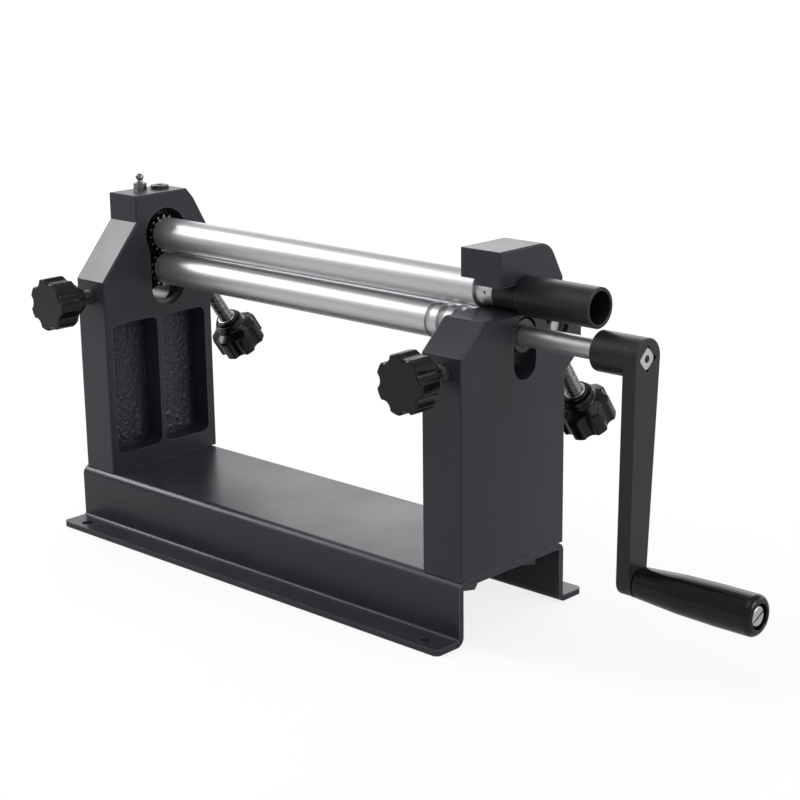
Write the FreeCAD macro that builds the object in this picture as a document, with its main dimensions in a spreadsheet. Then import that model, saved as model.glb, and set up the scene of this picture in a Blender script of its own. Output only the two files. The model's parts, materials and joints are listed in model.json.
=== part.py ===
import FreeCAD, Part
import math
import os
import re
import Sketcher

# Slip roll machine: three steel rolls between two cast frames on a bent sheet base.
# Frame of the part: origin at the centre of the base's underside, X along the rolls towards
# the crank, Y from the operator to the back, Z up. All sizes are millimetres.

Vector = FreeCAD.Vector
doc = FreeCAD.newDocument("slip_roll_machine")
sheet = doc.addObject("Spreadsheet::Sheet", "sizes")

SIZES = [
    ("base_length", 394, "bent base, along the rolls"),
    ("base_depth", 109.2, "bent base, over the two upright walls"),
    ("flange_depth", 152.8, "bent base, over the two flanges"),
    ("base_height", 44, "underside of the flanges to the top plate"),
    ("sheet_thick", 4.3, "thickness of the bent sheet"),
    ("bend_inside", 2, "inner radius of each bend"),
    ("mount_long", 356, "bench holes, spacing along the rolls"),
    ("mount_short", 135, "bench holes, spacing from front to back"),
    ("mount_radius", 4.5, "bench hole"),
    ("roll_gap", 325, "between the inner faces of the frames"),
    ("frame_thick", 34, "thickness of each cast frame"),
    ("frame_front", 51.7, "front face of the frames, ahead of the origin"),
    ("frame_back", 55, "lower rear face of the frames"),
    ("shoulder_left", 195, "foot of the front slope, left frame"),
    ("shoulder_right", 193.3, "foot of the front slope, right frame"),
    ("slope_top", 236.3, "head of the front slope, left frame"),
    ("brow", 16.5, "upright front of the left frame's head, ahead of the origin"),
    ("saddle_brow", 29.5, "front edge of the right frame's flat top, ahead of the origin"),
    ("saddle_top", 213.3, "flat top of the right frame"),
    ("frame_top", 256, "top of the closed cap"),
    ("head_top", 257, "top of the left frame"),
    ("cap_under", 232.3, "underside of the cap's front part"),
    ("cap_front", 13.5, "front face of the cap, ahead of the origin"),
    ("notch_top", 236.3, "notch over the roll's end in the cap's underside"),
    ("notch_wide", 13.7, "width of that notch, from the cap's inner face"),
    ("crown_back", 34.6, "rear end of the flat top"),
    ("crown_drop", 6.7, "height of the small rear bevel"),
    ("ear_back", 72.5, "rearmost point of the frames"),
    ("ear_top", 193.5, "foot of the long rear slope"),
    ("ear_foot", 178.3, "upper end of the underside slope"),
    ("back_top", 164.8, "lower end of the underside slope"),
    ("edge_round", 1.4, "rounded edges of the castings"),
    ("outer_round", 3.4, "rounded edges of the left frame's outer face"),
    ("pocket_front", 45.5, "hollow in the inner face, ahead of the origin"),
    ("pocket_back", 47.5, "hollow in the inner face, behind the origin"),
    ("pocket_foot", 58, "hollow, lower edge"),
    ("pocket_head", 161, "hollow, upper edge"),
    ("pocket_deep", 18.5, "hollow, depth"),
    ("pocket_round", 6, "hollow, corner radius"),
    ("rib_thick", 4, "upright rib in the hollow"),
    ("rib_back", 1, "middle of the rib, behind the origin"),
    ("roll_radius", 12.7, "all three rolls"),
    ("axis_back", 12, "upper and lower roll axes, behind the origin"),
    ("upper_height", 224.3, "upper roll axis"),
    ("roll_spacing", 27, "upper axis to lower axis"),
    ("rear_back", 48, "rear roll axis, behind the origin"),
    ("rear_height", 197.4, "rear roll axis"),
    ("rear_angle", 55, "slope of the rear roll's travel above the horizontal"),
    ("rear_lift", 15, "travel of the rear roll up its slots"),
    ("rear_drop", 1, "travel of the rear roll down its slots"),
    ("chamber_radius", 20.3, "round head of the gear chamber"),
    ("chamber_slot", 16.8, "half width of the gear chamber's lower part"),
    ("chamber_foot", 168, "bottom of the gear chamber"),
    ("chamber_deep", 13, "depth of the gear chamber"),
    ("bush_radius", 11.4, "round bushes of the lower roll"),
    ("bush_slot", 11.6, "half width of the lower bush slots"),
    ("bush_slot_foot", 167.7, "bottom of the lower bush slots"),
    ("bush_slot_head", 210.4, "top of the lower bush slots"),
    ("journal_radius", 7, "lower roll journals, drive shaft and gear bores"),
    ("swivel_radius", 10.5, "ball of the upper roll's swivel bush"),
    ("swivel_inset", 21.5, "ball centre behind the left frame's inner face"),
    ("swivel_half", 5.5, "half width of the ball"),
    ("tail_radius", 6, "upper roll's left journal, in the ball"),
    ("upper_end", 162, "right end of the upper roll's full diameter"),
    ("rest_radius", 10.4, "bare journal between the upper roll and the release handle"),
    ("oil_hole_along", 170.4, "small oil hole in that journal"),
    ("stub_radius", 9.5, "upper roll's right end, in the release handle"),
    ("stub_end", 194, "outer end of that stub"),
    ("neck_radius", 11.6, "handle neck that lies in the right frame"),
    ("neck_start", 177, "inner end of the handle neck"),
    ("seat_radius", 11.7, "seat of the neck in the right frame"),
    ("screw_radius", 5.95, "adjusting screws"),
    ("screw_hole", 6.05, "screw holes in the frames"),
    ("screw_inset", 18, "screw axes behind the inner faces of the frames"),
    ("rear_drill", 48, "rear screw holes, length from the rear roll's axis"),
    ("front_height", 182, "axis of the front adjusting screws"),
    ("cone_angle", 20, "half angle of the thrust cones"),
    ("cone_base", 3.6, "large end of the cone, behind the origin"),
    ("cone_tip", 1.8, "radius of the cone's blunt end"),
    ("cone_back", 12, "length of the thrust piece's plain shank"),
    ("front_hub", 61.5, "inner end of the front knobs, ahead of the origin"),
    ("rear_hub", 67, "inner end of the rear knobs, down the screw from the roll axis"),
    ("block_half", 7, "half length of a rear block along its slot"),
    ("block_side", 8, "half width of a rear block across its slot"),
    ("block_round", 4, "corners of the rear blocks and slots"),
    ("rear_journal", 6, "rear roll journals"),
    ("pin_height", 229, "cap hinge pin"),
    ("pin_radius", 3, "cap hinge pin"),
    ("knuckle", 6.6, "round ends of the cap hinge"),
    ("tongue_thick", 12, "hinge tongue of the right frame"),
    ("knob_radius", 20, "star knobs"),
    ("hub_radius", 11.5, "hub of a star knob"),
    ("collar_radius", 9.4, "small collar at the inner end of a knob's hub"),
    ("knob_length", 30.5, "whole length of a star knob"),
    ("knob_lobes", 7, "lobes of a star knob"),
    ("flute_radius", 6.2, "round flutes between the lobes"),
    ("flute_out", 3.4, "centres of the flutes outside the lobes' circle"),
    ("insert_radius", 7.6, "metal insert of a star knob"),
    ("insert_deep", 18, "bore of a star knob, depth"),
    ("gear_teeth", 15, "teeth of each gear"),
    ("gear_module", 1.7, "gear module"),
    ("gear_tip", 14.65, "tip radius of the gears"),
    ("gear_root", 10.65, "root radius of the gears"),
    ("gear_width", 9, "width of the gears"),
    ("gear_inset", 2, "gears behind the left frame's inner face"),
    ("tube_radius", 13.4, "release handle tube"),
    ("tube_bore", 10.8, "bore of the release handle tube"),
    ("tube_start", 198.6, "inner end of the release handle tube"),
    ("tube_floor", 201, "bottom of the tube's bore"),
    ("handle_pin_along", 187, "cross pin of the release handle"),
    ("handle_pin_radius", 2.5, "hole of that cross pin"),
    ("tube_end", 256.7, "outer end of the release handle tube"),
    ("crank_face", 294, "outer face of the crank arm"),
    ("crank_hub", 13.3, "radius of the crank hub"),
    ("crank_hub_start", 258.4, "inner end of the crank hub"),
    ("arm_thick", 10, "crank arm"),
    ("arm_length", 144.4, "crank arm, shaft axis to handle axis"),
    ("arm_end", 10, "round lower end of the crank arm"),
    ("arm_lean", 2.3, "lean of the crank as it hangs"),
    ("socket_half", 6.35, "half width of the square socket"),
    ("square_half", 6.2, "half width of the shaft's squared end"),
    ("grip_end", 384.6, "outer end of the handle grip"),
    ("bolt_radius", 5, "bolts that hold the frames"),
    ("bolt_row", 32, "frame bolts, ahead of and behind the frame's middle"),
    ("bolt_deep", 13.5, "bolt holes in the frames, depth"),
    ("nipple_inset", 22.5, "grease nipple behind the left frame's inner face"),
    ("nipple_back", 6.5, "grease nipple, behind the origin"),
    ("plug_inset", 17.5, "oil plug behind the left frame's inner face"),
    ("plug_back", 22, "oil plug, behind the origin"),
]
ALIASES = {entry[0] for entry in SIZES}
for row, (alias, size, note) in enumerate(SIZES, start=1):
    sheet.set(f"A{row}", alias)
    sheet.set(f"B{row}", str(size))
    sheet.set(f"C{row}", note)
    sheet.setAlias(f"B{row}", alias)
doc.recompute()


def sized(text):
    """Put the sheet's name in front of each alias of an expression."""
    def name(match):
        word = match.group(0)
        return "sizes." + word if word in ALIASES else word
    return re.sub(r"[a-z_]+", name, str(text))


def number(text):
    """The value of an expression over the sheet."""
    return float(sheet.evalExpression(sized(text)))


def bind(item, prop, text):
    item.setExpression(prop, sized(text))


def place(item, x="0", y="0", z="0", axis=None, angle="0"):
    """Bind an object's Placement to the sheet."""
    if axis is not None:
        item.Placement = FreeCAD.Placement(Vector(), FreeCAD.Rotation(Vector(*axis), 1))
        bind(item, "Placement.Rotation.Angle", angle)
    bind(item, "Placement.Base.x", x)
    bind(item, "Placement.Base.y", y)
    bind(item, "Placement.Base.z", z)


def new_body(label):
    body = doc.addObject("PartDesign::Body", label)
    body.Label = label
    return body


def new_sketch(body, name, plane, depth=None, origin=None, turn=None):
    """A sketch on one of the body's own planes, shifted or turned in that plane if asked."""
    sketch = body.newObject("Sketcher::SketchObject", name)
    support = [item for item in body.Origin.OriginFeatures if item.Role == plane][0]
    sketch.AttachmentSupport = [(support, "")]
    sketch.MapMode = "FlatFace"
    sketch.AttachmentOffset = FreeCAD.Placement(Vector(), FreeCAD.Rotation(Vector(0, 0, 1), 0))
    if turn is not None:
        bind(sketch, "AttachmentOffset.Rotation.Angle", turn)
    if origin is not None:
        bind(sketch, "AttachmentOffset.Base.x", origin[0])
        bind(sketch, "AttachmentOffset.Base.y", origin[1])
    if depth is not None:
        bind(sketch, "AttachmentOffset.Base.z", depth)
    return sketch


def pin_point(sketch, geometry, end, u, v):
    """Tie a sketch point to expressions for both of its coordinates."""
    for kind, text in (("DistanceX", u), ("DistanceY", v)):
        index = sketch.addConstraint(
            Sketcher.Constraint(kind, -1, 1, geometry, end, number(text)))
        bind(sketch, f"Constraints[{index}]", text)


def draw_circle(sketch, u, v, radius):
    centre = Vector(number(u), number(v), 0)
    geometry = sketch.addGeometry(Part.Circle(centre, Vector(0, 0, 1), number(radius)), False)
    pin_point(sketch, geometry, 3, u, v)
    index = sketch.addConstraint(Sketcher.Constraint("Radius", geometry, number(radius)))
    bind(sketch, f"Constraints[{index}]", radius)


def draw_outline(sketch, corners):
    """A closed outline through corners (u, v) or, where a corner is rounded, (u, v, radius)."""
    count = len(corners)
    points = [Vector(number(c[0]), number(c[1]), 0) for c in corners]
    rounds = [number(c[2]) if len(c) > 2 else 0.0 for c in corners]
    starts, ends, arcs = [], [], []
    for i, point in enumerate(points):
        back = (points[i - 1] - point).normalize()
        ahead = (points[(i + 1) % count] - point).normalize()
        if not rounds[i]:
            starts.append(point)
            ends.append(point)
            arcs.append(None)
            continue
        half = back.getAngle(ahead) / 2
        reach = rounds[i] / math.tan(half)
        centre = point + (back + ahead).normalize() * (rounds[i] / math.sin(half))
        middle = centre + (point - centre).normalize() * rounds[i]
        ends.append(point + back * reach)
        starts.append(point + ahead * reach)
        arcs.append(Part.Arc(ends[-1], middle, starts[-1]))
    lines = []
    for i in range(count):
        segment = Part.LineSegment(starts[i], ends[(i + 1) % count])
        lines.append(sketch.addGeometry(segment, False))
    for i, corner in enumerate(corners):
        before, after = lines[i - 1], lines[i]
        if arcs[i] is None:
            sketch.addConstraint(Sketcher.Constraint("Coincident", before, 2, after, 1))
            pin_point(sketch, after, 1, corner[0], corner[1])
            continue
        mark = sketch.addGeometry(Part.Point(points[i]), True)
        pin_point(sketch, mark, 1, corner[0], corner[1])
        sketch.addConstraint(Sketcher.Constraint("PointOnObject", mark, 1, before))
        sketch.addConstraint(Sketcher.Constraint("PointOnObject", mark, 1, after))
        arc = sketch.addGeometry(arcs[i], False)
        turn = (points[i] - points[i - 1]).cross(points[(i + 1) % count] - points[i]).z
        first, last = (1, 2) if turn > 0 else (2, 1)
        sketch.addConstraint(Sketcher.Constraint("Tangent", before, 2, arc, first))
        sketch.addConstraint(Sketcher.Constraint("Tangent", after, 1, arc, last))
        index = sketch.addConstraint(Sketcher.Constraint("Radius", arc, rounds[i]))
        bind(sketch, f"Constraints[{index}]", corner[2])


def draw_box(sketch, left, right, low, high, radius=None):
    corners = [(left, low), (right, low), (right, high), (left, high)]
    if radius is not None:
        corners = [corner + (radius,) for corner in corners]
    draw_outline(sketch, corners)


def draw_slot(sketch, u, low, high, half):
    """An upright slot with round ends: its middle, its two ends and its half width."""
    ends = [(f"({low}) + ({half})", 180, 360), (f"({high}) - ({half})", 0, 180)]
    arcs = []
    for height, start, stop in ends:
        circle = Part.Circle(Vector(number(u), number(height), 0), Vector(0, 0, 1), number(half))
        arc = Part.ArcOfCircle(circle, math.radians(start), math.radians(stop))
        index = sketch.addGeometry(arc, False)
        pin_point(sketch, index, 3, u, height)
        arcs.append(index)
    x = number(u)
    side = number(half)
    bottom, top = number(ends[0][0]), number(ends[1][0])
    right = sketch.addGeometry(
        Part.LineSegment(Vector(x + side, bottom, 0), Vector(x + side, top, 0)), False)
    left = sketch.addGeometry(
        Part.LineSegment(Vector(x - side, top, 0), Vector(x - side, bottom, 0)), False)
    sketch.addConstraint(Sketcher.Constraint("Tangent", arcs[0], 2, right, 1))
    sketch.addConstraint(Sketcher.Constraint("Tangent", right, 2, arcs[1], 1))
    sketch.addConstraint(Sketcher.Constraint("Tangent", arcs[1], 2, left, 1))
    sketch.addConstraint(Sketcher.Constraint("Tangent", left, 2, arcs[0], 1))
    index = sketch.addConstraint(Sketcher.Constraint("Radius", arcs[0], side))
    bind(sketch, f"Constraints[{index}]", half)


def pad(body, sketch, length, middle=False, reverse=False):
    feature = body.newObject("PartDesign::Pad", sketch.Name + "_pad")
    feature.Profile = sketch
    bind(feature, "Length", length)
    feature.Midplane = middle
    feature.Reversed = reverse
    doc.recompute()
    return feature


def cut(body, sketch, length=None, reverse=False, middle=False):
    """A pocket that must take material away."""
    before = body.Shape.Volume
    feature = body.newObject("PartDesign::Pocket", sketch.Name + "_cut")
    feature.Profile = sketch
    if length is None:
        feature.Type = 1
    else:
        bind(feature, "Length", length)
    feature.Reversed = reverse
    feature.Midplane = middle
    doc.recompute()
    if not feature.Shape.Volume < before - 1e-3:
        raise RuntimeError(f"{feature.Name} takes nothing away")
    return feature


def revolve(body, sketch, kind="PartDesign::Revolution"):
    """Turn a profile round the sketch's horizontal axis."""
    feature = body.newObject(kind, sketch.Name + "_turned")
    feature.Profile = sketch
    feature.ReferenceAxis = (sketch, ["H_Axis"])
    feature.Angle = 360
    doc.recompute()
    return feature


def turned(label, profile, plane="XZ_Plane"):
    """A turned piece from corners (along, radius[, rounding]).

    It turns round its own X axis, or round its Y axis with the plane YZ_Plane."""
    body = new_body(label)
    sketch = new_sketch(body, label + "_profile", plane)
    draw_outline(sketch, profile)
    revolve(body, sketch)
    return body


def edges_where(feature, test):
    """Names of a feature's edges whose middle point passes the test."""
    names = []
    for index, edge in enumerate(feature.Shape.Edges, start=1):
        middle = edge.valueAt((edge.FirstParameter + edge.LastParameter) / 2)
        if test(edge, middle):
            names.append(f"Edge{index}")
    return names


def soften(body, feature, radius, test):
    """Round the edges of a feature that pass the test."""
    names = edges_where(feature, test)
    if not names:
        raise RuntimeError(f"no edge of {feature.Name} to soften")
    softened = body.newObject("PartDesign::Fillet", feature.Name + "_soft")
    softened.Base = (feature, names)
    bind(softened, "Radius", radius)
    doc.recompute()
    return softened


def soften_faces(body, block, low, left="edge_round"):
    """Round the edges of a casting's two faces above a height."""
    for face, radius in ((0, left), (number("frame_thick"), "edge_round")):
        block = soften(body, block, radius, lambda edge, middle:
                       edge.BoundBox.XLength < 0.01 and abs(middle.x - face) < 0.01
                       and middle.z > low)


def polar(body, feature, count, sketch):
    """Repeat a feature round its sketch's normal."""
    pattern = body.newObject("PartDesign::PolarPattern", feature.Name + "_round")
    pattern.Originals = [feature]
    pattern.Axis = (sketch, ["N_Axis"])
    pattern.Angle = 360
    bind(pattern, "Occurrences", count)
    body.Tip = pattern
    doc.recompute()
    return pattern


# Places that several pieces share, as expressions over the sheet.
INNER = "roll_gap/2"
OUTER = "(roll_gap/2 + frame_thick)"
LOWER = "(upper_height - roll_spacing)"
FRAME_MIDDLE = "(frame_back - frame_front)/2"
BEVEL_BACK = "(crown_back + crown_drop)"
BEVEL_TOP = "(frame_top - crown_drop)"
LEAN = f"(ear_back - {BEVEL_BACK})/({BEVEL_TOP} - ear_top)"
PIN_BACK = f"({BEVEL_BACK} + ({BEVEL_TOP} - pin_height)*{LEAN} - knuckle*sqrt(1 + ({LEAN})^2))"
STEP = "(pin_height - knuckle - 0.4)"
CAP_SEAM = "(pin_height - 1.3)"
ROLL_END = f"({INNER} + 1)"
WIRE_GROOVES = ((120.8, 2), (132, 3), (145, 4))
KEY_WIDE = 4
KEY_FOOT = 4.6
KEY_TOP = 8.6


def slope_back(height):
    """The long rear slope of the castings, at a height."""
    return f"({BEVEL_BACK} + ({BEVEL_TOP} - {height})*{LEAN})"


def base_channel():
    body = new_body("base_channel")
    section = new_sketch(body, "base_section", "YZ_Plane")
    wall, flange, thick = "base_depth/2", "flange_depth/2", "sheet_thick"
    inside, outside = "bend_inside", "(bend_inside + sheet_thick)"
    draw_outline(section, [
        (f"-{flange}", "0"),
        (f"-{flange}", thick),
        (f"-{wall}", thick, inside),
        (f"-{wall}", "base_height", outside),
        (wall, "base_height", outside),
        (wall, thick, inside),
        (flange, thick),
        (flange, "0"),
        (f"{wall} - {thick}", "0", outside),
        (f"{wall} - {thick}", f"base_height - {thick}", inside),
        (f"-{wall} + {thick}", f"base_height - {thick}", inside),
        (f"-{wall} + {thick}", "0", outside),
    ])
    bent = pad(body, section, "base_length", middle=True)
    reach = number(flange)
    soften(body, bent, "4", lambda edge, middle:
           abs(abs(middle.y) - reach) < 0.01 and edge.Length < number(thick) + 0.01)
    holes = new_sketch(body, "base_holes", "XY_Plane")
    for side in ("-", ""):
        for end in ("-", ""):
            draw_circle(holes, f"{end}mount_long/2", f"{side}mount_short/2", "mount_radius")
            row = f"{FRAME_MIDDLE} + {side}bolt_row".replace("+ -", "- ")
            draw_circle(holes, f"{end}({INNER} + frame_thick/2)", row, "bolt_radius + 0.5")
    cut(body, holes, middle=True)
    return body


def casting(label, outline, x, towards_outside):
    """A frame casting: its outline and all that both frames share.

    Local X runs from the placed face through the thickness; towards_outside tells
    whether local X points away from the rolls."""
    body = new_body(label)
    sketch = new_sketch(body, label + "_outline", "YZ_Plane")
    draw_outline(sketch, outline)
    block = pad(body, sketch, "frame_thick")
    inner = "0" if towards_outside else "frame_thick"
    soften_faces(body, block, number("base_height") + 0.1,
                 "edge_round" if towards_outside else "outer_round")
    screw_x = "screw_inset" if towards_outside else "(frame_thick - screw_inset)"

    hollow = new_sketch(body, label + "_hollow", "YZ_Plane", depth=inner)
    draw_box(hollow, "-pocket_front", "rib_back - rib_thick/2",
             "pocket_foot", "pocket_head", "pocket_round")
    draw_box(hollow, "rib_back + rib_thick/2", "pocket_back",
             "pocket_foot", "pocket_head", "pocket_round")
    cut(body, hollow, "pocket_deep", reverse=towards_outside)

    bush = new_sketch(body, label + "_bush_slot", "YZ_Plane")
    draw_slot(bush, "axis_back", "bush_slot_foot", "bush_slot_head", "bush_slot")
    cut(body, bush, middle=True)

    front_hole = new_sketch(body, label + "_front_hole", "XZ_Plane", depth="frame_front")
    draw_circle(front_hole, screw_x, "front_height", "screw_hole")
    cut(body, front_hole, "frame_front + axis_back")

    rear_hole = body.newObject("PartDesign::SubtractiveCylinder", label + "_rear_hole")
    bind(rear_hole, "Radius", "screw_hole")
    bind(rear_hole, "Height", "rear_drill")
    place(rear_hole, screw_x, "rear_back", "rear_height", (1, 0, 0), "270 - rear_angle")
    doc.recompute()

    bolts = new_sketch(body, label + "_bolt_holes", "XY_Plane", depth="base_height")
    draw_circle(bolts, "frame_thick/2", f"{FRAME_MIDDLE} - bolt_row", "bolt_radius")
    draw_circle(bolts, "frame_thick/2", f"{FRAME_MIDDLE} + bolt_row", "bolt_radius")
    cut(body, bolts, "bolt_deep", reverse=True)
    place(body, x)
    return body


def cut_rear_slot(body):
    """The slanting slot of a frame, in which the rear roll's block travels."""
    rear = new_sketch(body, body.Label + "_rear_slot", "YZ_Plane",
                      origin=("rear_back", "rear_height"), turn="90 - rear_angle")
    draw_box(rear, "-block_side - 0.2", "block_side + 0.2",
             "-block_half - rear_drop - 0.5", "block_half + rear_lift + 0.5", "block_round")
    cut(body, rear, middle=True)


def left_frame():
    outline = [
        ("-frame_front", "base_height"),
        ("frame_back", "base_height"),
        ("frame_back", "back_top"),
        ("ear_back", "ear_foot"),
        ("ear_back", "ear_top"),
        (BEVEL_BACK, BEVEL_TOP),
        ("crown_back", "head_top"),
        ("-brow", "head_top"),
        ("-brow", "slope_top"),
        ("-frame_front", "shoulder_left"),
    ]
    body = casting("left_frame", outline, f"-{OUTER}", False)
    cut_rear_slot(body)
    chamber = new_sketch(body, "gear_chamber", "YZ_Plane", depth="frame_thick")
    draw_circle(chamber, "axis_back", "upper_height", "chamber_radius")
    cut(body, chamber, "chamber_deep")
    lower = new_sketch(body, "gear_chamber_foot", "YZ_Plane", depth="frame_thick")
    draw_slot(lower, "axis_back", "chamber_foot", "upper_height + 10", "chamber_slot")
    cut(body, lower, "chamber_deep")
    for name, depth, radius, length in (
            ("ball_lip", "frame_thick - chamber_deep + 1", "swivel_radius - 1.3", "5"),
            ("ball_bore", "frame_thick - chamber_deep - 3", "swivel_radius + 0.05", None),
            ("ring_groove", "frame_thick - swivel_inset - 5.8", "swivel_radius + 0.8", "1.2")):
        bore = new_sketch(body, name, "YZ_Plane", depth=depth)
        draw_circle(bore, "axis_back", "upper_height", radius)
        cut(body, bore, length)
    for name, radius, depth in (
            ("nipple_thread", "3", "7"), ("nipple_drill", "1.2", "26"),
            ("plug_thread", "5", "9"), ("plug_drill", "1.5", "30")):
        kind = name.split("_")[0]
        hole = new_sketch(body, name, "XY_Plane", depth="head_top")
        draw_circle(hole, f"frame_thick - {kind}_inset", f"{kind}_back", radius)
        cut(body, hole, depth)
    return body


def right_frame():
    outline = [
        ("-frame_front", "base_height"),
        ("frame_back", "base_height"),
        ("frame_back", "back_top"),
        ("ear_back", "ear_foot"),
        ("ear_back", "ear_top"),
        (slope_back(STEP), STEP),
        (f"{PIN_BACK} - knuckle - 0.4", STEP),
        (f"{PIN_BACK} - knuckle - 0.4", f"{CAP_SEAM} - 0.4"),
        ("axis_back", f"{CAP_SEAM} - 0.4"),
        ("axis_back", "saddle_top"),
        ("-saddle_brow", "saddle_top"),
        ("-frame_front", "shoulder_right"),
    ]
    body = casting("right_frame", outline, INNER, True)
    tongue = new_sketch(body, "hinge_tongue", "YZ_Plane", depth="frame_thick/2")
    draw_slot(tongue, PIN_BACK, f"{STEP} - 8", "pin_height + knuckle", "knuckle")
    pad(body, tongue, "tongue_thick", middle=True)
    cut_rear_slot(body)
    seat = new_sketch(body, "neck_seat", "YZ_Plane")
    draw_slot(seat, "axis_back", "upper_height - seat_radius", "upper_height + 30", "seat_radius")
    cut(body, seat, middle=True)
    hole = new_sketch(body, "tongue_hole", "YZ_Plane")
    draw_circle(hole, PIN_BACK, "pin_height", "pin_radius + 0.05")
    cut(body, hole, middle=True)
    return body


def latch_cap():
    body = new_body("latch_cap")
    sketch = new_sketch(body, "cap_outline", "YZ_Plane")
    tangent = f"sqrt(1 + ({LEAN})^2)"
    draw_outline(sketch, [
        ("-cap_front", "cap_under"),
        ("axis_back + 5", "cap_under"),
        ("axis_back + 5", CAP_SEAM),
        (PIN_BACK, CAP_SEAM),
        (f"{PIN_BACK} + knuckle/{tangent}", f"pin_height + knuckle*{LEAN}/{tangent}"),
        (slope_back("frame_top"), "frame_top", "16"),
        ("-cap_front", "frame_top"),
    ])
    block = pad(body, sketch, "frame_thick")
    soften_faces(body, block, number("pin_height") + 3.4)
    knuckle = new_sketch(body, "cap_knuckle", "YZ_Plane", depth="frame_thick/2")
    draw_circle(knuckle, PIN_BACK, "pin_height", "knuckle")
    pad(body, knuckle, "frame_thick - edge_round", middle=True)
    recess = new_sketch(body, "neck_recess", "YZ_Plane")
    draw_circle(recess, "axis_back", "upper_height", "seat_radius + 0.05")
    cut(body, recess, middle=True)
    notch = new_sketch(body, "cap_notch", "YZ_Plane")
    draw_box(notch, "-cap_front - 1", "axis_back", "cap_under - 1", "notch_top")
    cut(body, notch, "notch_wide", reverse=True)
    fork = new_sketch(body, "cap_fork", "YZ_Plane", depth="frame_thick/2",
                      origin=(PIN_BACK, "pin_height"))
    draw_outline(fork, [
        ("-knuckle - 0.4", "-12"),
        ("16", "-12"),
        ("16", "(knuckle + 0.4 + 16*sin(20))/cos(20)"),
        ("-knuckle - 0.4", "(knuckle + 0.4)*tan(35)", "knuckle + 0.4"),
    ])
    cut(body, fork, "tongue_thick + 0.8", middle=True)
    hole = new_sketch(body, "cap_pin_hole", "YZ_Plane")
    draw_circle(hole, PIN_BACK, "pin_height", "pin_radius + 0.05")
    cut(body, hole, "frame_thick - 4.5", reverse=True)
    place(body, INNER)
    return body


def cap_hinge_pin():
    body = turned("cap_hinge_pin", [
        ("0.4", "0"), ("0.4", "pin_radius", "0.5"),
        ("frame_thick - 5", "pin_radius", "0.5"), ("frame_thick - 5", "0")])
    place(body, INNER, PIN_BACK, "pin_height")
    return body


def drill_across(body, name, x, radius):
    """A cross hole through a turned piece."""
    sketch = new_sketch(body, name, "XY_Plane")
    draw_circle(sketch, x, "0", radius)
    cut(body, sketch, middle=True)


def cut_keyway(body, name):
    """The keyway of a gear in its shaft."""
    sketch = new_sketch(body, name, "YZ_Plane",
                        depth=f"(-{INNER} - gear_inset - gear_width - 0.2)")
    draw_box(sketch, f"-{KEY_WIDE}/2", f"{KEY_WIDE}/2", str(KEY_FOOT), "journal_radius + 2")
    cut(body, sketch, "gear_width + 1", reverse=True)


def cut_wire_grooves(body, name):
    sketch = new_sketch(body, name, "XZ_Plane")
    for x, radius in WIRE_GROOVES:
        draw_circle(sketch, str(x), "roll_radius + 0.3", str(radius))
    before = body.Shape.Volume
    revolve(body, sketch, "PartDesign::Groove")
    if not body.Shape.Volume < before:
        raise RuntimeError(f"{name} takes nothing away")


def upper_roll():
    tail_end = f"-{INNER} - swivel_inset - swivel_half - 2.5"
    clip = f"-{INNER} - swivel_inset - swivel_half - 0.4"
    step = f"-{INNER} - gear_inset - gear_width - 0.5"
    body = turned("upper_roll", [
        (tail_end, "0"),
        (tail_end, "tail_radius", "0.5"),
        (f"{clip} - 1.1", "tail_radius"),
        (f"{clip} - 1.1", "tail_radius - 0.5"),
        (clip, "tail_radius - 0.5"),
        (clip, "tail_radius"),
        (step, "tail_radius"),
        (step, "journal_radius"),
        (f"-{ROLL_END}", "journal_radius"),
        (f"-{ROLL_END}", "roll_radius", "0.8"),
        ("upper_end", "roll_radius", "0.8"),
        ("upper_end", "rest_radius"),
        ("neck_start - 0.3", "rest_radius", "0.6"),
        ("neck_start - 0.3", "stub_radius"),
        ("stub_end", "stub_radius", "0.5"),
        ("stub_end", "0"),
    ])
    cut_keyway(body, "upper_keyway")
    drill_across(body, "upper_pin_hole", "handle_pin_along", "handle_pin_radius")
    oil_hole = new_sketch(body, "upper_oil_hole", "XZ_Plane", depth="rest_radius - 3")
    draw_circle(oil_hole, "oil_hole_along", "0", "1")
    cut(body, oil_hole, "4", reverse=True)
    place(body, "0", "axis_back", "upper_height")
    return body


def release_handle():
    body = turned("release_handle", [
        ("neck_start", "stub_radius + 0.02"),
        ("neck_start", "neck_radius", "0.6"),
        ("tube_start - 1.6", "neck_radius", "1"),
        ("tube_start - 0.6", "tube_radius", "1.2"),
        ("tube_end", "tube_radius", "0.8"),
        ("tube_end", "tube_bore", "0.6"),
        ("tube_floor", "tube_bore"),
        ("tube_floor", "stub_radius + 0.02"),
    ])
    drill_across(body, "handle_pin_hole", "handle_pin_along", "handle_pin_radius")
    place(body, "0", "axis_back", "upper_height")
    return body


def handle_pin():
    body = new_body("handle_pin")
    sketch = new_sketch(body, "handle_pin_section", "XY_Plane")
    draw_circle(sketch, "0", "0", "handle_pin_radius - 0.02")
    pad(body, sketch, "2*neck_radius - 0.6", middle=True)
    place(body, "handle_pin_along", "axis_back", "upper_height")
    return body


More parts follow.
